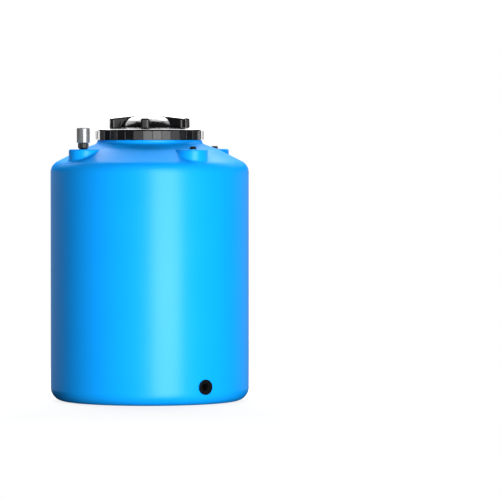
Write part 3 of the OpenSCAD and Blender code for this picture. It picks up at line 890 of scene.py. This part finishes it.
def outletBody():
    flange, tube, bore, lead = fitting["flange"], fitting["tube"], fitting["bore"], fitting["lead"]
    back, base = fitting["seal"] - fitting["tubeLength"], fitting["seal"]
    face = base + fitting["flangeThick"]
    edge, tip, b = fitting["round"], fitting["tubeBevel"], fitting["backBevel"]
    sunk = face - fitting["recess"]
    outline = [(bore, back), (tube - tip, back), (tube, back + tip), (tube, base), (flange - b, base),
               (flange, base + b)]
    outline += arcPoints((flange - edge, face - edge), edge, 0, 90, fitting["roundSteps"])
    outline += [(bore + lead + fitting["recessOuter"], face), (bore + lead + fitting["recessInner"], sunk),
                (bore + lead, sunk), (bore, sunk - lead), (bore, back)]
    body = turned("outletBody", outline, steps=fitting["steps"])
    foot = face - pipeThread["drop"] - pipeThread["lead"] * pipeThread["turns"]
    ridge = helix("pipeThread", bore, pipeThread["crest"], pipeThread, 360 * pipeThread["turns"], foot)
    return smoothed(outletWards(added(body, ridge)))


def outletRing(name, low, high):
    outer, hole = fitting["flange"] - outletSeal["inset"], fitting["tube"] + outletSeal["gap"]
    return smoothed(outletWards(washer(name, outer, hole, low, high, outletSeal["bevel"])))


def backnut():
    top = -outlet["padDepth"] - fitting["seal"]
    low, flangeLow = top - backnutPiece["height"], top - backnutPiece["flange"]
    outer, b = fitting["flange"], backnutPiece["flangeBevel"]
    nut = rod("backnut", outer, low, top - b, sides=backnutPiece["flats"])
    softEdges(nut, backnutPiece["flatBevel"])
    flange = [(0, flangeLow), (outer, flangeLow), (outer, top - b), (outer - b, top), (0, top)]
    added(nut, turned("nutFlange", flange))
    cutAway(nut, rod("nutBore", fitting["tube"] + slipGap, low - overshoot, top + overshoot, sides=turnSteps))
    return smoothed(outletWards(nut))


finished(outletBody(), "outlet_body", "tank", "fitting_black")
finished(outletRing("outletGasket", 0, fitting["seal"]), "outlet_gasket", "tank", "seal_rubber")
slipWasher = outletRing("outletWasher", -outlet["padDepth"] - fitting["seal"], -outlet["padDepth"])
finished(slipWasher, "outlet_washer", "tank", "fitting_black")
finished(backnut(), "outlet_backnut", "tank", "fitting_black")
print("outlet modelled")


# Camera, at the photograph's viewing angle

shot = {"azimuth": -33, "distance": 16.8, "height": 1.133, "lens": 288.6, "sensor": 36, "yaw": 1.433,
        "pitch": 1.708, "clipEnd": 200}
view = math.radians(shot["azimuth"])
towardsCamera = Vector((math.sin(view), -math.cos(view), 0))
cameraRight = Vector((math.cos(view), math.sin(view), 0))
cameraData = bpy.data.cameras.new("camera")
camera = bpy.data.objects.new("camera", cameraData)
bpy.context.scene.collection.objects.link(camera)
cameraData.lens = shot["lens"]
cameraData.sensor_width = shot["sensor"]
cameraData.clip_end = shot["clipEnd"]
camera.location = towardsCamera * shot["distance"] + Vector((0, 0, shot["height"]))
camera.rotation_euler = (math.radians(90 - shot["pitch"]), 0, view - math.radians(shot["yaw"]))
bpy.context.scene.camera = camera


# Studio: a floor, soft lamps and a pale room

floorPaper = {"size": 120, "drop": 0.0006, "shade": 0.80, "roughness": 0.9, "glow": 0.86,
              "shadowReach": (1.2, 3.0)}
room = {"frontLevel": 0.005, "backLevel": 0.28, "skyLevel": 2.0, "fill": 0.11, "back": (0.2, 0.7),
        "ground": (-0.2, 0.0), "skyFoot": (0.42, 0.58), "skyTop": (0.58, 0.72), "shoulder": (0.64, 0.80),
        "aboveLevel": (0.03, 0.10), "leastHeight": 0.001}
# a lamp without a list of pieces lights them all and isn't reflected; the others only show as reflections
lamps = [
    {"name": "key", "side": 18, "lift": 0, "distance": 5, "width": 2.6, "height": 2.4, "aim": 0.42,
     "radiance": 19.7},
    {"name": "sky", "side": 180, "lift": 40, "distance": 4, "width": 8, "height": 2.2, "aim": 1.0,
     "radiance": 17.0},
    {"name": "sheen", "side": 17, "lift": 0, "distance": 1.9, "width": 1.02, "height": 3.4, "aim": 0.5,
     "radiance": 3.1, "only": ["tank_shell"]},
    {"name": "lidFront", "side": 15, "lift": 0, "distance": 3, "width": 2.3, "height": 2.4, "aim": 0.6,
     "radiance": 3.0, "only": ["lid"]},
    {"name": "lidWide", "side": 22, "lift": 0, "distance": 2.4, "width": 5.6, "height": 2.4, "aim": 0.6,
     "radiance": 1.25, "only": ["lid", "front_plug", "right_plug", "rear_plug"]},
    {"name": "lidSky", "side": 180, "lift": 45, "distance": 3, "width": 2.4, "height": 4.4, "aim": 1.15,
     "radiance": 8.6, "only": ["lid"]},
    {"name": "lidLeft", "side": 230, "lift": 46, "distance": 3, "width": 1.7, "height": 1.8, "aim": 1.15,
     "radiance": 4.5, "only": ["lid"]},
    {"name": "lidRight", "side": 130, "lift": 46, "distance": 3, "width": 1.7, "height": 1.8, "aim": 1.15,
     "radiance": 4.5, "only": ["lid"]},
    {"name": "lidBack", "side": 180, "lift": 0, "distance": 4, "width": 7.5, "height": 1.5, "aim": 1.2,
     "radiance": 3.6, "only": ["lid"]},
    {"name": "ventFront", "side": 22, "lift": 0, "distance": 3, "width": 3.0, "height": 3, "aim": 1.1,
     "radiance": 7, "only": ["vent_cap", "vent_collar"]},
    {"name": "ventRound", "side": 0, "lift": 0, "distance": 1.2, "width": 6, "height": 3, "aim": 1.1,
     "radiance": 0.3, "only": ["vent_cap"]},
    {"name": "ventLeft", "side": -90, "lift": 0, "distance": 1.4, "width": 3, "height": 3, "aim": 1.1,
     "radiance": 0.22, "only": ["vent_cap"]},
    {"name": "ventRight", "side": 90, "lift": 0, "distance": 1.2, "width": 3, "height": 3, "aim": 1.1,
     "radiance": 0.3, "only": ["vent_cap"]},
]


def softbox(lamp):
    data = bpy.data.lights.new(lamp["name"], "AREA")
    data.shape = "RECTANGLE"
    data.size, data.size_y = lamp["width"], lamp["height"]
    data.energy = lamp["radiance"] * math.pi * lamp["width"] * lamp["height"]
    thing = bpy.data.objects.new(lamp["name"], data)
    bpy.context.scene.collection.objects.link(thing)
    side, lift = math.radians(lamp["side"]), math.radians(lamp["lift"])
    level = towardsCamera * math.cos(side) + cameraRight * math.sin(side)
    out = level * math.cos(lift) + Vector((0, 0, math.sin(lift)))
    thing.location = Vector((0, 0, lamp["aim"])) + out * lamp["distance"]
    thing.rotation_euler = out.to_track_quat("Z", "Y").to_euler()
    thing.visible_camera = False
    thing.visible_diffuse = "only" not in lamp
    thing.visible_glossy = "only" in lamp
    if "only" in lamp:
        lit = bpy.data.collections.new(lamp["name"] + "Lit")
        for node in lamp["only"]:
            lit.objects.link(pieces[node])
        thing.light_linking.receiver_collection = lit


def studioFloor():
    nothingSelected()
    bpy.ops.mesh.primitive_plane_add(size=floorPaper["size"], location=(0, 0, -floorPaper["drop"]))
    floor = bpy.context.object
    floor.name = "floor"
    shade, leastGlow = floorPaper["shade"], floorPaper["glow"]
    constants = {"Base Color": (shade, shade, shade, 1), "Roughness": floorPaper["roughness"]}
    material, tree, surface, place = newMaterial("floorPaper", constants)
    # near the object part of the floor is lit by the lamps, so that it keeps the shadow
    away = addNode(tree, "ShaderNodeVectorMath", {"operation": "LENGTH"}, {0: place}, "Value")
    glowShare = leastGlow + blend(tree, away, floorPaper["shadowReach"]) * (1 - leastGlow)
    isCamera = addNode(tree, "ShaderNodeLightPath", output="Is Camera Ray")
    glow = addNode(tree, "ShaderNodeEmission", None, {"Strength": 1.0})
    mixed = addNode(tree, "ShaderNodeMixShader", None,
                    {0: isCamera * glowShare, 1: Wire(tree, surface.outputs[0]), 2: glow})
    end = next(n for n in tree.nodes if n.type == "OUTPUT_MATERIAL")
    tree.links.new(mixed.socket, end.inputs["Surface"])
    floor.data.materials.append(material)
    floor.visible_shadow = False
    floor.visible_glossy = False
    floor.visible_diffuse = False


def paleRoom():
    world = bpy.data.worlds.new("room")
    bpy.context.scene.world = world
    world.use_nodes = True
    tree = world.node_tree
    tree.nodes.clear()
    isCamera, isGlossy, isThrough = (addNode(tree, "ShaderNodeLightPath", output="Is " + kind + " Ray")
                                     for kind in ("Camera", "Glossy", "Transmission"))
    ray = addNode(tree, "ShaderNodeTexCoord", output="Generated")
    behind = addNode(tree, "ShaderNodeVectorMath", {"operation": "DOT_PRODUCT"},
                     {0: ray, 1: -towardsCamera}, "Value")
    height = addNode(tree, "ShaderNodeSeparateXYZ", None, {0: ray}, "Z")
    backShare = blend(tree, behind, room["back"]) * blend(tree, height, room["ground"])
    skyShare = blend(tree, height, room["skyFoot"]) * (1 - blend(tree, height, room["skyTop"]))
    # what the round shoulder reflects is darker than what the cone above it and the wall below it do
    tilt = (1 - behind) / (height * height + room["leastHeight"])
    shoulderShare = blend(tree, tilt, room["shoulder"]) * blend(tree, height, room["aboveLevel"])
    backShare = backShare * (1 - shoulderShare)
    seen = room["frontLevel"] + backShare * (room["backLevel"] + skyShare * room["skyLevel"])
    strength = isCamera + isThrough + isGlossy * seen + (1 - isCamera - isThrough - isGlossy) * room["fill"]
    backdrop = addNode(tree, "ShaderNodeBackground", None, {"Color": (1, 1, 1, 1), "Strength": strength})
    addNode(tree, "ShaderNodeOutputWorld", None, {"Surface": backdrop})


studioFloor()
paleRoom()
for lamp in lamps:
    softbox(lamp)
bpy.context.scene.view_settings.view_transform = "Standard"
print("studio set")
